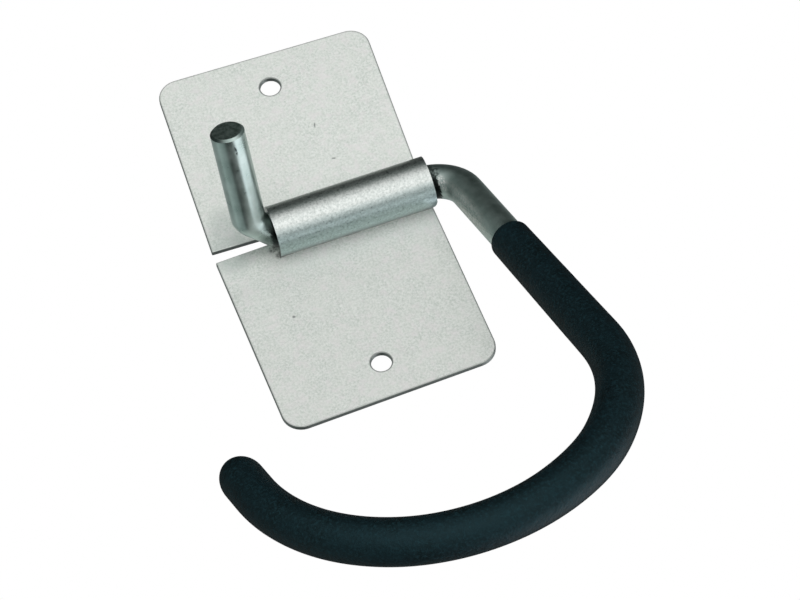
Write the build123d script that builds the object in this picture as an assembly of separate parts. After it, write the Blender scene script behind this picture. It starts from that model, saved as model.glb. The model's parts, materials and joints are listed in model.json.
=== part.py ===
from build123d import *
from math import cos, pi, radians, sin, sqrt, tan
import os

os.makedirs("parts", exist_ok=True)

# Frame: the wall is the plane y = 0, the front of the part is -Y, and +Z is up.
# The origin is halfway between the two screw holes, on the wall. Lengths are in mm.

# Wall plate: one pressed steel sheet
sheet_t = 1.5
plate_w = 64.3
hole_pitch = 100.0
hole_d = 6.0
end_margin = 11.5        # screw hole's centre to the end edge beyond it
corner_r = 6.0
fan = 1.8                # degrees that each half is turned, in its plane, about its screw hole
notch_gap = 1.6          # between the two halves, on the line of the screw holes
tab_corner_r = 0.3
relief_w = 0.15          # lanced cut that frees each tab from the pressed strip
edge_r = 0.3             # rolled-over front edge of the sheared sheet

# Rod: one bent round bar
rod_d = 10.0
rod_chamfer = 0.7
stub_len = 38.4          # barrel's axis to the stub's cut end
stub_bend_r = 8.0
stub_thin = 2.0          # drawn off the outside of the stub's tight bend
leg_bend_r = 12.0
leg_len = 94.9           # barrel's axis to the start of the U
leg_splay = 8.4          # degrees that the leg leans away from the plate's middle
u_r = 52.7
u_turn = 177.6           # degrees
nose_len = 12.0          # straight end of the rod, after the U
hook_tilt = 22.4         # degrees that the hook stands out from the wall, as photographed
stub_to_hook = 90.0      # degrees between the stub and the hook's plane

# Barrel: the middle strip, pressed round the rod
barrel_play = 1.0        # radial
barrel_left = -15.7
barrel_over = 1.0        # strip's free end beyond the plate's right edge
bend_clear = 0.1         # inside of each bend to the mouth of the barrel
barrel_drop = 1.0        # axis below the middle of the screw holes
rod_over_tabs = 0.2      # rod's back to the sheet's front
crease_r = 0.3           # inside radius where the strip leaves the flat sheet

# Sleeve: soft skin on the hook
sleeve_wall = 1.6        # round the U
rim_wall = 1.0           # at the shoulder, where the skin is stretched thinnest
tip_wall = 1.3           # round the rod's end
sleeve_start = 38.8      # barrel's axis to the sleeve's shoulder, along the leg
sleeve_cap = 3.0         # skin beyond the rod's end
shoulder_r = 0.8
dome_flat = 0.5          # radius of the flat left at the middle of the domed tip

rod_r = rod_d / 2
sleeve_r = rod_r + sleeve_wall
rim_r = rod_r + rim_wall
tip_r = rod_r + tip_wall
bore_r = rod_r + barrel_play
barrel_r = bore_r + sheet_t
half_pitch = hole_pitch / 2
axis_y = -(sheet_t + rod_over_tabs + rod_r)
axis = Vector(0, axis_y, -barrel_drop)
side = Vector(1, 0, 0)
hook_dir = Vector(0, -sin(radians(hook_tilt)), -cos(radians(hook_tilt)))
stub_dir = hook_dir.rotate(Axis.X, -stub_to_hook)

# Section of the barrel: flat, crease, round the rod, crease, flat
crease_y = -(sheet_t + crease_r)
crease_reach = barrel_r + crease_r
crease_dz = sqrt(crease_reach**2 - (crease_y - axis_y) ** 2)


def section_arc(centre, start, end, radius, bulge):
    """Arc between two section points, on the side of its centre that bulge points to."""
    return ThreePointArc(start, centre + bulge.normalized() * radius, end)


def skin(radius, crease_radius, face_y):
    """One face of the strip in section, from the lower flat to the upper one."""
    creases = [Vector(0, crease_y, axis.Z + s * crease_dz) for s in (-1, 1)]
    feet = [Vector(0, face_y, c.Z) for c in creases]
    joins = [axis + (c - axis).normalized() * radius for c in creases]
    arcs = []
    for c, foot, join in zip(creases, feet, joins):
        arcs.append(section_arc(c, foot, join, crease_radius, (foot - c) + (join - c)))
    front = ThreePointArc(joins[0], axis - Vector(0, radius, 0), joins[1])
    return feet, [arcs[0], front, arcs[1]]


back_feet, back_arcs = skin(bore_r, crease_r + sheet_t, 0)
front_feet, front_arcs = skin(barrel_r, crease_r, -sheet_t)
seams = [Line(b, f) for b, f in zip(back_feet, front_feet)]
strip_face = make_face([*back_arcs, *front_arcs, *seams])
# The strip's free end leaves the plate's right edge and leans out to the end of the barrel
fan_in = (half_pitch - crease_dz) * sin(radians(fan))
edge_x = plate_w / 2 * cos(radians(fan)) - fan_in
barrel_right = edge_x + barrel_over
strip = extrude(Pos(barrel_left, 0, 0) * strip_face, barrel_right - barrel_left, dir=(1, 0, 0))
lean = [(edge_x, 0), (edge_x, -sheet_t), (barrel_right, axis_y), (plate_w, axis_y), (plate_w, 0)]
lean = Polyline(*lean, close=True)
strip -= Pos(0, 0, -plate_w) * extrude(make_face(lean), 2 * plate_w)


def half_blank(sign):
    """Flat half above (1) or below (-1) the barrel, turned about its own screw hole."""
    out = sign * end_margin
    inner = -sign * (half_pitch - notch_gap / 2)
    sheet = Rectangle(plate_w, abs(out - inner)).moved(Pos(0, (out + inner) / 2))
    ends = sheet.vertices().sort_by(Axis.Y)
    outer = ends[2:] if sign > 0 else ends[:2]
    tabs = ends[:2] if sign > 0 else ends[2:]
    sheet = fillet(outer, corner_r)
    tab_points = [v for v in sheet.vertices() if any((v.center() - t.center()).length < 1e-6 for t in tabs)]
    sheet = fillet(tab_points, tab_corner_r)
    sheet = Pos(0, 0, sign * half_pitch) * Rot(90, 0, 0) * Rot(0, 0, -sign * fan) * sheet
    return extrude(sheet, sheet_t, dir=(0, -1, 0))


def half_plate(sign):
    """Flat half with its screw hole, cut away for the pressed strip and its lanced end."""
    sheet = half_blank(sign)
    hole = Pos(0, 0, sign * half_pitch) * Rot(90, 0, 0) * Cylinder(hole_d / 2, 4 * sheet_t)
    sheet -= hole
    sheet = fillet(sheet.faces().sort_by(Axis.Y)[0].edges(), edge_r)
    crease_z = axis.Z + sign * crease_dz
    mid = axis.Z - sign * crease_dz
    cut_left = barrel_left - relief_w
    window = Pos((cut_left + plate_w) / 2, 0, (crease_z + mid) / 2)
    window *= Box(plate_w - cut_left, 4 * sheet_t, abs(crease_z - mid))
    return sheet - window


wall_plate = half_plate(1) + strip + half_plate(-1)

# Rod's path, from the stub's cut end to the hook's nose
def on(direction, x, d):
    """Point at x along the barrel and d from its axis."""
    return axis + side * x + direction * d


def bend_entry(radius):
    """How far inside the barrel's mouth a bend can start and still clear the bore there."""
    inside = radius - rod_r
    return sqrt(inside**2 - (inside - max(barrel_play - bend_clear, 0)) ** 2)


splay = radians(leg_splay)
leg_dir = side * sin(splay) + hook_dir * cos(splay)
turn_in = hook_dir * sin(splay) - side * cos(splay)
bend_t = leg_bend_r * tan((radians(90) - splay) / 2)
leg_x = barrel_right - bend_entry(leg_bend_r) + bend_t
stub_x = barrel_left + bend_entry(stub_bend_r) - stub_bend_r
leg_foot = on(hook_dir, leg_x, 0)
u_start = leg_foot + leg_dir * leg_len
u_centre = u_start + turn_in * u_r
u_ang = radians(u_turn)
u_end = u_centre - turn_in * (u_r * cos(u_ang)) + leg_dir * (u_r * sin(u_ang))
nose_dir = turn_in * sin(u_ang) + leg_dir * cos(u_ang)
rod_end = u_end + nose_dir * nose_len
sleeve_foot = leg_foot + leg_dir * sleeve_start
sleeve_tip = rod_end + nose_dir * sleeve_cap
u_arc = TangentArc(u_start, u_end, tangent=leg_dir)

stub_end = on(stub_dir, stub_x, stub_len)
stub_bend = on(stub_dir, stub_x, stub_bend_r)
barrel_in = on(stub_dir, stub_x + stub_bend_r, 0)
barrel_out = on(hook_dir, leg_x - bend_t, 0)
leg_bend = leg_foot + leg_dir * bend_t

# Rod: a tight cold bend behind the stub, drawn thin on its outside, and plain round bar beyond it
bend = TangentArc(stub_bend, barrel_in, tangent=stub_dir * -1).edge()
bend_centre = on(stub_dir, stub_x + stub_bend_r, stub_bend_r)
bend_steps = 8


def bend_section(share):
    """Section at a share of the stub's bend, thinned from outside and most at the middle."""
    at = bend @ share
    thin = stub_thin * (1 - cos(2 * pi * share)) / 2
    plane = Plane(origin=at, x_dir=bend_centre - at, z_dir=bend % share)
    return plane * Pos(thin / 2, 0) * Ellipse(rod_r - thin / 2, rod_r)


stub_face = Plane(origin=stub_end, z_dir=stub_dir * -1) * Circle(rod_r)
stub = extrude(stub_face, stub_len - stub_bend_r, dir=stub_dir * -1)
bend_sections = [bend_section(i / bend_steps) for i in range(bend_steps + 1)]
tight_bend = sweep(bend_sections, path=bend, multisection=True)
bar_path = Wire(
    [
        Line(barrel_in, barrel_out).edge(),
        TangentArc(barrel_out, leg_bend, tangent=side).edge(),
        Line(leg_bend, u_start).edge(),
        u_arc.edge(),
        Line(u_end, rod_end).edge(),
    ]
)
bar = sweep(Plane(origin=barrel_in, z_dir=side) * Circle(rod_r), path=bar_path)
hook_rod = stub + tight_bend + bar
cut_ends = [f for f in hook_rod.faces() if f.geom_type == GeomType.PLANE]
hook_rod = chamfer([f.edge() for f in cut_ends], rod_chamfer)

# Sleeve: drawn over the leg and the U, thinner towards both ends, closed and domed at the nose
def taper(start, end, start_r, end_r):
    """Round skin along a straight run of the rod, from one radius to the other."""
    run = end - start
    cone = Cone(start_r, end_r, run.length, align=(Align.CENTER, Align.CENTER, Align.MIN))
    return Plane(origin=start, z_dir=run) * cone


def end_edge(solid, point):
    """Edge of the solid's flat end at that point."""
    flats = [f for f in solid.faces() if f.geom_type == GeomType.PLANE]
    return min(flats, key=lambda f: (f.center() - point).length).edge()


round_u = sweep(Plane(origin=u_start, z_dir=leg_dir) * Circle(sleeve_r), path=u_arc)
skin_solid = taper(sleeve_foot, u_start, rim_r, sleeve_r) + round_u
skin_solid += taper(u_end, sleeve_tip, sleeve_r, tip_r)
skin_solid = fillet(end_edge(skin_solid, sleeve_foot), shoulder_r)
skin_solid = fillet(end_edge(skin_solid, sleeve_tip), tip_r - dome_flat)
soft_sleeve = skin_solid - hook_rod

for name, solid in (("wall_plate", wall_plate), ("hook_rod", hook_rod), ("soft_sleeve", soft_sleeve)):
    solid.label = name
    export_step(solid, f"parts/{name}.step")
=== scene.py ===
import json
import math

import bmesh
import bpy
from mathutils import Matrix, Vector
from mathutils import noise as mathnoise


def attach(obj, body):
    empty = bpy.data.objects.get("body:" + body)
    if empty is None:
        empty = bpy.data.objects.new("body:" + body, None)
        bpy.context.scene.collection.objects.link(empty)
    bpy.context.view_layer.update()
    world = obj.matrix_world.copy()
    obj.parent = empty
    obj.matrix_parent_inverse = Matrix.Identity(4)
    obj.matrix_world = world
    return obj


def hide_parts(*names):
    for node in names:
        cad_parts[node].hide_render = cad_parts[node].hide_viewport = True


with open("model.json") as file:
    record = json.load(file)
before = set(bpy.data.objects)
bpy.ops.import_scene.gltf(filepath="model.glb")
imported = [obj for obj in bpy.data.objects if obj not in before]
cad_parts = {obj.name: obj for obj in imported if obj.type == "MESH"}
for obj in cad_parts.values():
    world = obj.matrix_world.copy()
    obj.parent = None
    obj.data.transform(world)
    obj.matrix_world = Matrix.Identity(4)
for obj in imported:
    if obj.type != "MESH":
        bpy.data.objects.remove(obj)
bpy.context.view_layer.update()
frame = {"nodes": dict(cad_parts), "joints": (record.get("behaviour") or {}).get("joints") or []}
scene = bpy.context.scene
MM = 0.001

# Sizes of the part that the finishes and the sleeve use, in mm and degrees
HOLE_Z, HOLE_R = 50.0, 3.0
FAN = 1.8                             # each half of the plate, turned about its hole
CORNER_R = 6.0
CORNER_X, CORNER_Z = 26.15, 5.5       # centre of a corner's radius, from the hole
AXIS_Y, AXIS_Z = -6.7, -1.0           # line that the rod turns on
CREASE_Z = AXIS_Z - 6.07              # lower crease, where the barrel leaves the flat sheet
BARREL_LEFT, BARREL_RIGHT = -15.7, 31.75
ROD_R = 5.0
STUB_LEN, STUB_TURN = 38.4, 67.6
HOOK_TILT, LEG_SPLAY, U_TURN = 22.4, 8.4, 177.6
LEG_X, LEG_LEN, U_R, NOSE_LEN = 38.68, 94.9, 52.7, 15.0
SLEEVE_START = 38.8
RIM_WALL, U_WALL, TIP_WALL = 1.0, 1.6, 1.3

# Building a finish
MIDDLE, WIDE = (0.35, 0.65), (0.3, 0.7)   # of a pattern's values, which bunch round a half
SHARE, BELOW, OVER, MIXED = 0, 6, 7, 2    # sockets of a Mix node that mixes colours


def linear(hex_colour):
    """sRGB hex to a linear RGBA tuple."""
    channels = [int(hex_colour[i:i + 2], 16) / 255 for i in (1, 3, 5)]
    return tuple(c / 12.92 if c <= 0.04045 else ((c + 0.055) / 1.055) ** 2.4 for c in channels) + (1.0,)


def wire(tree, node, inputs):
    """Sets a node's inputs: a list in their own order, or a dict by name or number. Outputs are linked."""
    for name, value in inputs.items() if isinstance(inputs, dict) else enumerate(inputs):
        if isinstance(value, bpy.types.NodeSocket):
            tree.links.new(value, node.inputs[name])
        else:
            node.inputs[name].default_value = value


def add(tree, kind, inputs=(), out=0, **settings):
    """Adds a node with its settings and links, and gives one of its outputs."""
    made = tree.nodes.new("ShaderNode" + kind)
    for name, value in settings.items():
        setattr(made, name, value)
    wire(tree, made, inputs)
    return made.outputs[out] if made.outputs else None


def start_finish(name):
    """A new material, its tree and shader, and the place on the part in mm."""
    made = bpy.data.materials.new(name)
    made.use_nodes = True
    tree = made.node_tree
    where = add(tree, "TexCoord", out="Object")
    place = add(tree, "VectorMath", {0: where, "Scale": 1 / MM}, operation="SCALE")
    return made, tree, tree.nodes["Principled BSDF"], place


def mark(tree, place, centre, size, turn=(0, 0, 0), level=1.0):
    """A soft-edged mark: level inside an ellipsoid, fading to 0 at its edge. mm and degrees."""
    values = {
        "Vector": place,
        "Location": centre,
        "Rotation": [math.radians(a) for a in turn],
        "Scale": Vector(size) / 2,
    }
    inside = add(tree, "Mapping", values, vector_type="TEXTURE")
    far = add(tree, "VectorMath", [inside], "Value", operation="LENGTH")
    return add(tree, "MapRange", [far, 0.5, 1.0, level, 0.0])


def band(tree, value, low, high, soft, level=1.0):
    """A soft-edged band: level from low to high, fading to 0 over soft outside them. mm."""
    fall = add(tree, "MapRange", [value, high, high + soft, level, 0.0])
    return add(tree, "MapRange", [value, low - soft, low, 0.0, fall])


# Galvanised sheet, hot-dipped and then pressed: pale matte zinc with a fine crystal speckle, burnished
# darker and smoother where the press has drawn it round the barrel, and dark along its sheared edges.
# Painted shade darkens its rolled-over edges, its lower half, its crease, the barrel's underside and the
# barrel's left mouth; a painted teal reflection tints the barrel's underside, and a painted reflection of
# the stub shades the flat round its bend. The crystals are under 0.3 mm across, and are drawn at 0.7 mm so
# that they show
CRYSTAL = 0.7, 3.0, 0.75              # mm across, detail and roughness of the pattern
CLOUD = 7.0, 2.0, 0.55
TINT = 2.6, 2.0, 0.55
CRYSTAL_DEPTH, CLOUD_DEPTH = 0.022, 0.02
BARREL_FROM = -2.4, -1.55             # depths between which the flat becomes the barrel
FRONT_SKIN = -1.55, -1.45             # depths on each side of the sheet's front face
LOWER_SHADE_TOP = -14.0, -7.5               # heights between which the lower half's painted shade ends
LOWER_SHADE_GROWS = -26.0, -10.0            # heights between which it grows stronger
# heights at which the painted teal reflection on the barrel's underside ends
TEAL_REFLECTION_TOP = -7.0, -4.6
# heights and depths of the painted shade on the barrel's underside by the crease
UNDERSIDE_SHADE_TOP, UNDERSIDE_SHADE_DEPTH = (-5.0, -4.0), (-6.5, -3.2)
CREASE_SHADE_DEPTH = -2.2, -1.6
DULL_FLAT, DULL_SOFT = (-11.0, -6.0), 5.0
# share of the painted shade on edges that turn away from the front
EDGE_SHADE = 0.75
# painted reflection of the stub: a greenish shade on the flat round its bend
STUB_REFLECTION = (-28.0, -1.5, 3.0), (16, 4, 28), (0, 8, 0)
SPECKS = (
    ((7.9, -1.5, 32.6), (0.6, 2, 2.0), (0, 15, 0)),
    ((9.4, -1.5, 19.7), (1.6, 2, 0.6), (0, 20, 0)),
    ((-18.4, -1.5, -27.0), (1.2, 2, 1.0)),
)
# painted shade on the flat in the barrel's lower-left mouth
LEFT_MOUTH_SHADE = (
    ((-16.7, -1.5, -3.4), (4.2, 2.4, 2.6), (0, -20, 0)),
    ((-15.7, -1.7, -6.3), (3.6, 2.4, 2.0), (0, 25, 0)),
)


def galvanised_sheet():
    made, tree, shader, place = start_finish("galvanised_sheet")
    crystals, clouds, tint = (
        add(tree, "TexNoise", {"Vector": place, "Scale": 1 / size, "Detail": detail, "Roughness": rough})
        for size, detail, rough in (CRYSTAL, CLOUD, TINT)
    )
    x, y, z = add(tree, "SeparateXYZ", [place]).node.outputs
    normal = add(tree, "NewGeometry", out="True Normal")
    faces_x, faces_y, _ = add(tree, "SeparateXYZ", [normal]).node.outputs
    faces_x = add(tree, "Math", [faces_x], operation="ABSOLUTE")
    faces_y = add(tree, "Math", [faces_y], operation="ABSOLUTE")

    # Pale flats, the lower one darkened by a painted shade, and the burnished barrel
    speckle = add(tree, "MapRange", [crystals, *MIDDLE])
    cloudy = add(tree, "MapRange", [clouds, *MIDDLE, 0.0, 0.35])
    tinted = add(tree, "MapRange", [tint, 0.48, 0.72, 0.0, 0.5])
    painted_lower_shade = add(tree, "MapRange", [z, *LOWER_SHADE_GROWS, 0.75, 1.0])
    painted_lower_shade = add(tree, "MapRange", [z, *LOWER_SHADE_TOP, painted_lower_shade, 0.0])
    drawn = add(tree, "MapRange", [y, *BARREL_FROM, 1.0, 0.0])
    burnished = {SHARE: speckle, BELOW: linear("#A3A9A6"), OVER: linear("#CFD3D0")}
    burnished = add(tree, "Mix", burnished, MIXED, data_type="RGBA")

    # Painted shade on the rolled-over edges: where the face turns away, along the outline of both halves,
    # and round the holes
    height = add(tree, "Math", [z], operation="ABSOLUTE")
    over_hole = add(tree, "Math", [height, HOLE_Z], operation="SUBTRACT")
    on_half = add(tree, "CombineXYZ", {"X": x, "Z": over_hole})
    from_hole = add(tree, "VectorMath", [on_half], "Value", operation="LENGTH")
    fan_cos, fan_sin = math.cos(math.radians(FAN)), math.sin(math.radians(FAN))
    across = add(tree, "VectorMath", [on_half, (fan_cos, 0, -fan_sin)], "Value", operation="DOT_PRODUCT")
    outward = add(tree, "VectorMath", [on_half, (fan_sin, 0, fan_cos)], "Value", operation="DOT_PRODUCT")
    across = add(tree, "Math", [across], operation="ABSOLUTE")
    past_corner = add(tree, "CombineXYZ", {"X": across, "Z": outward})
    past_corner = add(tree, "VectorMath", [past_corner, (CORNER_X, 0, CORNER_Z)], operation="SUBTRACT")
    past_corner = add(tree, "VectorMath", [past_corner, (0, 0, 0)], operation="MAXIMUM")
    from_corner = add(tree, "VectorMath", [past_corner], "Value", operation="LENGTH")
    rim = add(tree, "MapRange", [from_corner, CORNER_R - 0.55, CORNER_R - 0.3, 0.0, EDGE_SHADE])
    turned_away = add(tree, "MapRange", [faces_y, 0.80, 0.97, EDGE_SHADE, 0.0])
    painted_edge_shade = add(tree, "Math", [turned_away, rim], operation="MAXIMUM")
    painted_edge_shade = add(tree, "MapRange", [y, *FRONT_SKIN, 0.0, painted_edge_shade])
    hole_rim = add(tree, "MapRange", [from_hole, HOLE_R + 0.3, HOLE_R + 0.5, EDGE_SHADE, 0.0])
    painted_edge_shade = add(tree, "Math", [painted_edge_shade, hole_rim], operation="MAXIMUM")
    sheared = add(tree, "MapRange", [faces_y, 0.3, 0.5, 1.0, 0.0])
    sheared = add(tree, "MapRange", [y, *FRONT_SKIN, 0.0, sheared])
    strip_ends = add(tree, "MapRange", [faces_x, 0.7, 0.8])
    sheared = add(tree, "Math", [sheared, strip_ends], operation="MAXIMUM")

    # Painted shade in the crease, under the barrel and in its left mouth, painted reflections on the
    # barrel's underside and round the stub, and real scratches
    # painted shade along the crease
    painted_crease_shade = add(tree, "MapRange", [clouds, 0.3, 0.6, 0.4, 0.9])
    painted_crease_shade = band(tree, y, *CREASE_SHADE_DEPTH, 0.08, painted_crease_shade)
    painted_crease_shade = band(tree, x, BARREL_LEFT, BARREL_RIGHT, 0.3, painted_crease_shade)
    painted_crease_shade = band(tree, z, CREASE_Z - 0.1, CREASE_Z + 0.25, 0.15, painted_crease_shade)
    # painted reflection: a teal tint on the barrel's underside
    painted_teal_reflection = add(tree, "MapRange", [z, *TEAL_REFLECTION_TOP, drawn, 0.0])
    # painted shade on the barrel's underside, near the crease
    painted_underside_shade = add(tree, "MapRange", [y, *UNDERSIDE_SHADE_DEPTH, 0.0, 0.45])
    painted_underside_shade = add(tree, "MapRange", [z, *UNDERSIDE_SHADE_TOP, painted_underside_shade, 0.0])
    painted_underside_shade = add(tree, "MapRange", [y, *BARREL_FROM, painted_underside_shade, 0.0])
    # painted reflection of the stub on the flat round its bend
    painted_stub_reflection = mark(tree, place, *STUB_REFLECTION, add(tree, "MapRange", [clouds, *WIDE, 0.25, 0.5]))
    # painted shade in the barrel's left mouth, with a ragged edge
    ragged_mouth_shade = add(tree, "MapRange", [crystals, 0.34, 0.56, 0.95, 0.35])
    layers = (
        (speckle, linear("#FCFFFB"), "MIX"),
        (cloudy, linear("#F4F7F1"), "MIX"),
        (tinted, linear("#F8F4F4"), "MIX"),
        (painted_lower_shade, linear("#EAEAEA"), "MULTIPLY"),
        (drawn, burnished, "MIX"),
        (painted_stub_reflection, linear("#8FA29C"), "MIX"),
        *((mark(tree, place, *spot, level=0.75), linear("#5B605E"), "MIX") for spot in SPECKS),
        *((mark(tree, place, *spot, level=ragged_mouth_shade), linear("#2A2726"), "MIX") for spot in LEFT_MOUTH_SHADE),
        (painted_crease_shade, linear("#39403D"), "MIX"),
        (painted_teal_reflection, linear("#E6F7F9"), "MULTIPLY"),
        (painted_underside_shade, linear("#5C6562"), "MIX"),
        (painted_edge_shade, linear("#5E6562"), "MIX"),
        (sheared, linear("#6A706D"), "MIX"),
    )
    colour = linear("#D2DAD2")
    for share, shade, blend in layers:
        values = {SHARE: share, BELOW: colour, OVER: shade}
        colour = add(tree, "Mix", values, MIXED, data_type="RGBA", blend_type=blend)

    rough = add(tree, "MapRange", [crystals, *WIDE, 0.30, 0.42])
    smoothed = add(tree, "MapRange", [y, *BARREL_FROM, 0.04, 0.0])
    # The flat that the barrel hangs over is duller, and mirrors it less
    dull = band(tree, z, *DULL_FLAT, DULL_SOFT, 0.45)
    metal = add(tree, "Math", [0.65, dull], operation="SUBTRACT")
    bumps = add(tree, "Bump", {"Height": clouds, "Distance": CLOUD_DEPTH * MM, "Strength": 1.0})
    fine = {"Height": crystals, "Distance": CRYSTAL_DEPTH * MM, "Strength": 1.0, "Normal": bumps}
    wire(tree, shader, {
        "Base Color": colour,
        "Roughness": add(tree, "Math", [rough, smoothed], operation="SUBTRACT"),
        "Metallic": add(tree, "MapRange", [y, *BARREL_FROM, 1.0, metal]),
        "Normal": add(tree, "Bump", fine),
    })
    return made


# Zinc-plated bar, drawn and then bent: brighter and smoother, faintly green, dull and rough at its sheared
# end, with scuffs where it turns in the barrel's mouths, a rubbed leg and a scratched stub. Ragged rings of
# painted shadow lie on it just outside both mouths, with painted shade on the bend's underside by the left
# mouth and on its end's chamfer. Its pits are finer than a pixel, and are drawn at 0.6 mm so that they show
HAZE = 5.0, 3.0, 0.55                 # mm across, detail and roughness of the pattern
PIT = 0.6, 3.0, 0.55
SCUFF = 0.7, 2.0, 0.7
TEAR = 1.6, 4.0, 0.7
PIT_DEPTH = 0.004
WEAR_BRIGHT = (34.3, -11.8, -6.3), (3.4, 4.0, 6.4)
WEAR_DARK = (33.4, -12.0, -1.8), (4.0, 4.0, 6.0)
LEG_RUB = (37.3, -16.5, -19.5), (5.5, 9.0, 36.0), (-HOOK_TILT, -LEG_SPLAY, 0)
STUB_SCRATCH = (-20.95, -40.4, 7.4), (0.9, 2.5, 4.6), (STUB_TURN, 0, 0)
# painted shade on the bend's underside by the left mouth
BEND_UNDERSIDE_SHADE = (-17.5, -8.5, -5.5), (11.0, 9.0, 6.5), (0, 0, 0)
RAGGED = 0.4                          # how far a ring's edge strays, in mm
# heights at which the painted shadows on the rod by the mouths fade
RIGHT_SHADOW_TOP, LEFT_SHADOW_TOP = (-4.0, -1.0), (-4.6, -2.6)
LEFT_SHADOW_END = -12.0, -8.0
CHAMFER_SHADE_FADE = -24.5, -20.5           # along x, from the shaded side of the stub's end to the other, for the painted shade on its chamfer


def zinc_plated_bar():
    made, tree, shader, place = start_finish("zinc_plated_bar")
    haze, pits, scuffs, tears = (
        add(tree, "TexNoise", {"Vector": place, "Scale": 1 / size, "Detail": detail, "Roughness": rough})
        for size, detail, rough in (HAZE, PIT, SCUFF, TEAR)
    )
    x, _, z = add(tree, "SeparateXYZ", [place]).node.outputs
    hazy = add(tree, "MapRange", [haze, *MIDDLE])

    # The stub's sheared end, and painted shade on its chamfer, darker on its left
    stub_out = (0.0, -math.sin(math.radians(STUB_TURN)), math.cos(math.radians(STUB_TURN)))
    along_stub = add(tree, "VectorMath", [place, stub_out], "Value", operation="DOT_PRODUCT")
    stub_end = STUB_LEN + AXIS_Y * stub_out[1] + AXIS_Z * stub_out[2]
    sheared = add(tree, "MapRange", [along_stub, stub_end - 0.1, stub_end - 0.02])
    torn = add(tree, "MapRange", [tears, *MIDDLE])
    torn = {SHARE: torn, BELOW: linear("#55625D"), OVER: linear("#8E9C96")}
    torn = add(tree, "Mix", torn, MIXED, data_type="RGBA")
    painted_chamfer_shade = add(tree, "MapRange", [x, *CHAMFER_SHADE_FADE, 0.85, 0.1])
    painted_chamfer_shade = add(tree, "MapRange", [along_stub, stub_end - 0.85, stub_end - 0.65, 0.0, painted_chamfer_shade])

    # Rings of painted shadow on the rod just outside the barrel's mouths, and painted shade on the bend's
    # underside by the left mouth
    stray = add(tree, "MapRange", [pits, *WIDE, -RAGGED, RAGGED])
    along_bar = add(tree, "Math", [x, stray], operation="ADD")
    right_mouth_shadow = add(tree, "MapRange", [z, *RIGHT_SHADOW_TOP, 0.95, 0.35])
    right_mouth_shadow = add(tree, "MapRange", [along_bar, BARREL_RIGHT + 1.5, BARREL_RIGHT + 1.8, right_mouth_shadow, 0.0])
    right_mouth_shadow = add(tree, "MapRange", [along_bar, BARREL_RIGHT - 6.0, BARREL_RIGHT, 0.0, right_mouth_shadow])
    left_mouth_shadow = add(tree, "MapRange", [z, *LEFT_SHADOW_TOP, 0.9, 0.0])
    left_mouth_shadow = add(tree, "MapRange", [along_bar, *LEFT_SHADOW_END, left_mouth_shadow, 0.0])
    left_mouth_shadow = add(tree, "MapRange", [along_bar, BARREL_LEFT - 1.9, BARREL_LEFT - 1.1, 0.0, left_mouth_shadow])
    # painted shade on the bend's underside
    bend_underside_shade = mark(tree, place, *BEND_UNDERSIDE_SHADE, add(tree, "MapRange", [tears, *MIDDLE, 0.55, 0.85]))

    # Scuffs and scratches
    flecks = add(tree, "MapRange", [scuffs, 0.46, 0.58])
    bright = mark(tree, place, *WEAR_BRIGHT)
    dark = mark(tree, place, *WEAR_DARK)
    rubbed = mark(tree, place, *LEG_RUB)
    bright_flecks = add(tree, "Math", [bright, flecks], operation="MULTIPLY")
    dark_flecks = add(tree, "MapRange", [flecks, 0.0, 1.0, 0.85, 0.2])
    dark_flecks = add(tree, "Math", [dark, dark_flecks], operation="MULTIPLY")
    rub_streaks = add(tree, "MapRange", [scuffs, 0.4, 0.6, 0.2, 0.8])
    rub_streaks = add(tree, "Math", [rubbed, rub_streaks], operation="MULTIPLY")
    scratch = mark(tree, place, *STUB_SCRATCH, add(tree, "MapRange", [pits, 0.36, 0.50, 0.0, 0.9]))
    layers = (
        (hazy, linear("#C0CECA")),
        (rub_streaks, linear("#E2E0DC")),
        (dark_flecks, linear("#3C4441")),
        (bright_flecks, linear("#F4F5F2")),
        (right_mouth_shadow, linear("#121817")),
        (bend_underside_shade, linear("#44524D")),
        (left_mouth_shadow, linear("#121817")),
        (scratch, linear("#1E292B")),
        (painted_chamfer_shade, linear("#2E3835")),
        (sheared, torn),
    )
    colour = linear("#A5B5B0")
    for share, shade in layers:
        colour = add(tree, "Mix", {SHARE: share, BELOW: colour, OVER: shade}, MIXED, data_type="RGBA")

    worn = rubbed
    for wear in (sheared, bright, dark):
        worn = add(tree, "Math", [worn, wear], operation="MAXIMUM")
    rough = add(tree, "MapRange", [haze, *WIDE, 0.26, 0.36])
    wire(tree, shader, {
        "Base Color": colour,
        "Roughness": add(tree, "Math", [worn, 0.16, rough], operation="MULTIPLY_ADD"),
        "Metallic": 1.0,
        "Normal": add(tree, "Bump", {"Height": pits, "Distance": PIT_DEPTH * MM, "Strength": 1.0}),
    })
    return made


# Soft vinyl, foamed and drawn over the bar: matte blue-black with fine cells, and a faint cold sheen where
# it faces the eye. The cells are about 0.3 mm across, and are drawn at 0.8 mm so that they show
CELL = 0.8, 3.0, 0.7                  # mm across, detail and roughness of the pattern
MOTTLE = 2.0, 3.0, 0.6
BLOOM = 9.0, 2.0, 0.55
CELL_DEPTH, MOTTLE_DEPTH = 0.10, 0.20
COLD_SHEEN = 0.42, 0.88, 1.0, 1.0


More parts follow.
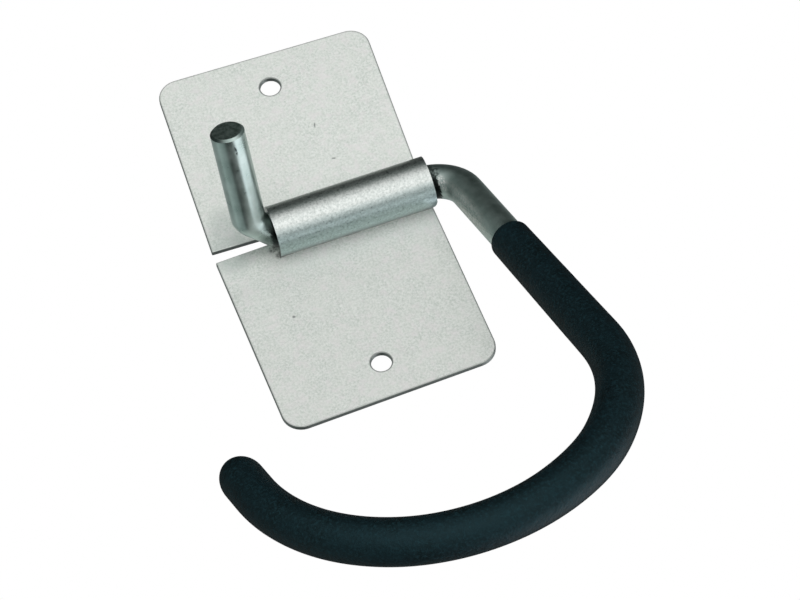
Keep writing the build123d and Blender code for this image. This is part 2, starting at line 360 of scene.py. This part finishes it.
def soft_vinyl():
    made, tree, shader, place = start_finish("soft_vinyl")
    cells, mottle, bloom = (
        add(tree, "TexNoise", {"Vector": place, "Scale": 1 / size, "Detail": detail, "Roughness": rough})
        for size, detail, rough in (CELL, MOTTLE, BLOOM)
    )
    layers = (
        (add(tree, "MapRange", [mottle, *MIDDLE]), linear("#0B161A")),
        (add(tree, "MapRange", [cells, 0.48, 0.72, 0.0, 0.65]), linear("#1D383F")),
        (add(tree, "MapRange", [bloom, 0.42, 0.62, 0.0, 0.3]), linear("#0C1E24")),
    )
    black = linear("#04090B")
    for share, shade in layers:
        black = add(tree, "Mix", {SHARE: share, BELOW: black, OVER: shade}, MIXED, data_type="RGBA")
    bumps = add(tree, "Bump", {"Height": mottle, "Distance": MOTTLE_DEPTH * MM, "Strength": 1.0})
    fine = {"Height": cells, "Distance": CELL_DEPTH * MM, "Strength": 1.0, "Normal": bumps}
    edge_on = add(tree, "LayerWeight", {"Blend": 0.5}, "Facing")
    wire(tree, shader, {
        "Base Color": black,
        "Roughness": add(tree, "MapRange", [cells, *WIDE, 0.50, 0.66]),
        "Normal": add(tree, "Bump", fine),
        "Specular IOR Level": add(tree, "MapRange", [edge_on, 0.25, 0.8, 0.34, 0.04]),
        "Specular Tint": COLD_SHEEN,
    })
    return made


sheet, bar, vinyl = galvanised_sheet(), zinc_plated_bar(), soft_vinyl()
for node, finish in (("wall_plate", sheet), ("hook_rod", bar)):
    slots = frame["nodes"][node].data.materials
    slots.clear()
    slots.append(finish)


def make_piece(name, form, finish):
    """An object of that finish from a bmesh, whose faces are turned outward."""
    bmesh.ops.recalc_face_normals(form, faces=form.faces)
    mesh = bpy.data.meshes.new(name)
    form.to_mesh(mesh)
    form.free()
    mesh.materials.append(finish)
    piece = bpy.data.objects.new(name, mesh)
    scene.collection.objects.link(piece)
    return piece


# Soft sleeve: one skin drawn over the leg, the U and the nose, in mm. It is stretched thin at its rolled
# rim, fuller on the outside of the bend, a little uneven, and closed in a dome at its tip
DOME = 8.0
FULL_AT, FULL_SPAN, PROUD_SPAN = (math.radians(a) for a in (54, 26, 11))
FULL_WALL, PROUD = 0.20, 0.25
UNEVEN, UNEVEN_SIZE, EVEN_RUN = 0.04, 12.0, 10.0
RING, STEP, CURVE_STEPS = 72, 0.8, 10

tilt, splay, u_turn = (math.radians(a) for a in (HOOK_TILT, LEG_SPLAY, U_TURN))
hinge = Vector(frame["joints"][0]["pos_m"]) / MM
side = Vector((1, 0, 0))
down = Vector((0, -math.sin(tilt), -math.cos(tilt)))
leg_dir = side * math.sin(splay) + down * math.cos(splay)
turn_in = down * math.sin(splay) - side * math.cos(splay)
hook_normal = leg_dir.cross(turn_in)
u_centre = hinge + side * LEG_X + leg_dir * LEG_LEN + turn_in * U_R
leg_run, u_run = LEG_LEN - SLEEVE_START, U_R * u_turn
sleeve_run = leg_run + u_run + NOSE_LEN
rim_r, tip_r = RIM_WALL / 2, ROD_R + TIP_WALL


def ease(low, high, value):
    """0 to 1 between low and high, smooth at both."""
    share = min(max((value - low) / (high - low), 0.0), 1.0)
    return share * share * (3 - 2 * share)


def turned_at(run):
    """How far the U has turned at a run from the sleeve's rim, in radians."""
    return min(max((run - leg_run) / U_R, 0.0), u_turn)


def fullness(run, span):
    """1 at the fullest part of the bend, falling off each side of it."""
    return math.exp(-((turned_at(run) - FULL_AT) / span) ** 2)


def skin_r(run):
    """Outer radius of the skin at a run from its rim."""
    stretched = (RIM_WALL - U_WALL) * max(1 - run / leg_run, 0.0)
    drawn_in = (TIP_WALL - U_WALL) * ease(leg_run + u_run * 0.7, sleeve_run - DOME, run)
    return ROD_R + U_WALL + stretched + drawn_in + FULL_WALL * fullness(run, FULL_SPAN)


def ring_points(run, radius, uneven):
    """One ring of the skin, square to the rod's line."""
    turned = turned_at(run)
    ahead = leg_dir * math.cos(turned) + turn_in * math.sin(turned)
    inward = turn_in * math.cos(turned) - leg_dir * math.sin(turned)
    straight = min(run - leg_run, 0.0) + max(run - leg_run - u_run, 0.0)
    centre = u_centre - inward * (U_R + PROUD * fullness(run, PROUD_SPAN)) + ahead * straight
    points = []
    for i in range(RING):
        angle = 2 * math.pi * i / RING
        out = inward * math.cos(angle) + hook_normal * math.sin(angle)
        swell = uneven * UNEVEN * mathnoise.noise((centre + out * radius) / UNEVEN_SIZE)
        points.append((centre + out * (radius + swell)) * MM)
    return points


# The skin's profile from the rod, over the rim and along to the tip: run, radius and unevenness
profile = []
for i in range(CURVE_STEPS + 1):
    angle = math.pi * i / CURVE_STEPS
    profile.append((rim_r * (1 - math.sin(angle)), ROD_R + rim_r * (1 - math.cos(angle)), 0.0))
body_run = sleeve_run - DOME - rim_r
body_steps = round(body_run / STEP)
for i in range(1, body_steps):
    run = rim_r + body_run * i / body_steps
    profile.append((run, skin_r(run), ease(0, EVEN_RUN, run)))
for i in range(2 * CURVE_STEPS):
    angle = math.pi / 2 * i / (2 * CURVE_STEPS)
    profile.append((sleeve_run - DOME * (1 - math.sin(angle)), tip_r * math.cos(angle), math.cos(angle)))

skin = bmesh.new()
rings = [[skin.verts.new(p) for p in ring_points(*station)] for station in profile]
pole = skin.verts.new(sum(ring_points(sleeve_run, tip_r, 0.0), Vector()) / RING)
for near, far in zip(rings, rings[1:]):
    for i in range(RING):
        j = (i + 1) % RING
        skin.faces.new((near[i], near[j], far[j], far[i]))
for i in range(RING):
    skin.faces.new((rings[-1][i], rings[-1][(i + 1) % RING], pole))
for facet in skin.faces:
    facet.smooth = True
sleeve = make_piece("soft_sleeve_skin", skin, vinyl)
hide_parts("soft_sleeve")
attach(sleeve, "hook")

# Sheared lip: the torn edge of the lower tab, bent a little way into the opening behind the barrel. It is
# also a sheet put there to stand in for shade, closing the see-through gap at the barrel's left mouth. Its
# outline is in x and z, in mm
LIP = (
    (-16.1, -6.4), (-15.1, -5.8), (-14.7, -4.6), (-14.5, -3.3), (-14.8, -2.2), (-15.4, -1.6), (-16.1, -1.5),
)
LIP_FRONT, LIP_BACK = -1.3, -0.15
burr = bmesh.new()
front_loop, back_loop = (
    [burr.verts.new((lip_x * MM, lip_y * MM, lip_z * MM)) for lip_x, lip_z in LIP]
    for lip_y in (LIP_FRONT, LIP_BACK)
)
burr.faces.new(front_loop)
burr.faces.new(back_loop)
for i in range(len(LIP)):
    j = (i + 1) % len(LIP)
    burr.faces.new((front_loop[i], front_loop[j], back_loop[j], back_loop[i]))
shade_lip_piece = make_piece("sheared_lip_shade_sheet", burr, sheet)
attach(shade_lip_piece, "plate")

# Camera: in front of the plate, below its middle and to the left, rolled
DISTANCE = 1.400
PIXELS_PER_MM, IMAGE_WIDTH, SENSOR = 3.507, 800, 36.0
below, left, roll = (math.radians(a) for a in (30.52, 7.05, 18.13))
target = Vector((11.93, 0.5, -31.44)) * MM
back = Vector((-math.sin(left), -math.cos(left) * math.cos(below), -math.cos(left) * math.sin(below)))
level = (side - back * side.dot(back)).normalized()
rise = back.cross(level)
right = level * math.cos(roll) - rise * math.sin(roll)
up = level * math.sin(roll) + rise * math.cos(roll)
camera = bpy.data.objects.new("camera", bpy.data.cameras.new("camera"))
scene.collection.objects.link(camera)
camera.matrix_world = Matrix((right, up, back)).transposed().to_4x4()
camera.location = target + back * DISTANCE
camera.data.sensor_width = SENSOR
camera.data.lens = PIXELS_PER_MM / MM * DISTANCE / IMAGE_WIDTH * SENSOR
camera.data.clip_start = 0.05
camera.data.clip_end = 50.0
scene.camera = camera

# Studio: a broad soft front, dim all round, dark above and low behind, with one soft light low on the right
# and a weak one on the left. The camera sees it as plain white. Stops are degrees and brightness
FRONT, FRONT_STOPS = (0, -1, -0.21), (
    (0, 1.0), (20, 0.94), (34, 0.72), (42, 0.55), (49, 0.40),
    (59, 0.17), (70, 0.11), (95, 0.11), (125, 0.20), (180, 0.25),
)
ABOVE, ABOVE_STOPS = (0.1, 0.2, 1), ((0, 0.22), (28, 0.28), (42, 0.66), (56, 1.0), (180, 1.0))
UNDER, UNDER_STOPS = (-0.25, 0.5, -0.8), ((0, 0.08), (30, 0.32), (55, 1.0), (180, 1.0))
DIM_TINT, TINTED_BELOW = (0.78, 1.0, 0.94), 0.4   # the front's tint comes in below this brightness
NO_TINT = 1.0, 1.0, 1.0
ROOM_LEVEL = 1.70
WHITE = 1, 1, 1, 1


def lobe(tree, ray, towards, stops, dim_tint=NO_TINT):
    """Brightness by the angle from a direction. Its dim part is tinted."""
    near = add(tree, "VectorMath", [ray, Vector(towards).normalized()], "Value", operation="DOT_PRODUCT")
    glow = add(tree, "ValToRGB", [add(tree, "MapRange", [near, -1.0, 1.0])])
    ramp = glow.node.color_ramp
    ramp.interpolation = "EASE"
    for i, (angle, brightness) in enumerate(reversed(stops)):
        position = (1 + math.cos(math.radians(angle))) / 2
        stop = ramp.elements[i] if i < 2 else ramp.elements.new(position)
        stop.position = position
        share = min(brightness / TINTED_BELOW, 1.0)
        stop.color = (*(brightness * (t + (1 - t) * share) for t in dim_tint), 1)
    return glow


def studio():
    made = bpy.data.worlds.new("studio")
    made.use_nodes = True
    tree = made.node_tree
    tree.nodes.clear()
    ray = add(tree, "TexCoord", out="Generated")
    around = lobe(tree, ray, FRONT, FRONT_STOPS, DIM_TINT)
    for towards, stops in ((ABOVE, ABOVE_STOPS), (UNDER, UNDER_STOPS)):
        darkened = {SHARE: 1.0, BELOW: around, OVER: lobe(tree, ray, towards, stops)}
        around = add(tree, "Mix", darkened, MIXED, data_type="RGBA", blend_type="MULTIPLY")
    room = add(tree, "Background", {"Color": around, "Strength": ROOM_LEVEL})
    white = add(tree, "Background", {"Color": WHITE, "Strength": 1.0})
    seen = add(tree, "LightPath", out="Is Camera Ray")
    add(tree, "OutputWorld", {"Surface": add(tree, "MixShader", [seen, room, white])})
    return made


def soft_light(name, position, size, power, colour):
    """A soft round light that points at the middle of the plate."""
    made = bpy.data.objects.new(name, bpy.data.lights.new(name, "AREA"))
    scene.collection.objects.link(made)
    made.data.shape = "DISK"
    made.data.size = size
    made.data.energy = power
    made.data.color = colour
    made.location = position
    made.rotation_euler = Vector(position).to_track_quat("Z", "Y").to_euler()
    made.visible_camera = False
    return made


scene.world = studio()
low = soft_light("low_light", (0.66, 0.42, -0.62), 1.25, 7.2, (0.95, 0.95, 1.0))
left_light = soft_light("left_light", (-0.76, 0.42, -0.46), 0.95, 0.65, (0.86, 1.0, 0.98))

# Floor: white paper far below, uncoated, so pale and without gloss. The camera and rays that metal mirrors
# or that pass through a surface see it as plain white
FLOOR_REACH, FLOOR_Z, FLOOR_BEHIND = 2.0, -4.0, 0.2


def white_paper():
    made = bpy.data.materials.new("white_paper")
    made.use_nodes = True
    tree = made.node_tree
    matte = tree.nodes["Principled BSDF"]
    wire(tree, matte, {"Base Color": linear("#DCE6E6"), "Roughness": 0.9})
    white = add(tree, "Emission", {"Color": WHITE, "Strength": 1.0})
    rays = add(tree, "LightPath").node.outputs
    seen = add(tree, "Math", [rays["Is Camera Ray"], rays["Is Glossy Ray"]], operation="MAXIMUM")
    seen = add(tree, "Math", [seen, rays["Is Transmission Ray"]], operation="MAXIMUM")
    both = add(tree, "MixShader", [seen, matte.outputs[0], white])
    wire(tree, tree.nodes["Material Output"], {"Surface": both})
    return made


corners = (
    (-FLOOR_REACH, -FLOOR_REACH, FLOOR_Z),
    (FLOOR_REACH, -FLOOR_REACH, FLOOR_Z),
    (FLOOR_REACH, FLOOR_BEHIND, FLOOR_Z),
    (-FLOOR_REACH, FLOOR_BEHIND, FLOOR_Z),
)
floor_mesh = bpy.data.meshes.new("floor")
floor_mesh.from_pydata(corners, [], [(0, 1, 2, 3)])
floor_mesh.materials.append(white_paper())
floor = bpy.data.objects.new("floor", floor_mesh)
scene.collection.objects.link(floor)

scene.view_settings.view_transform = "Standard"
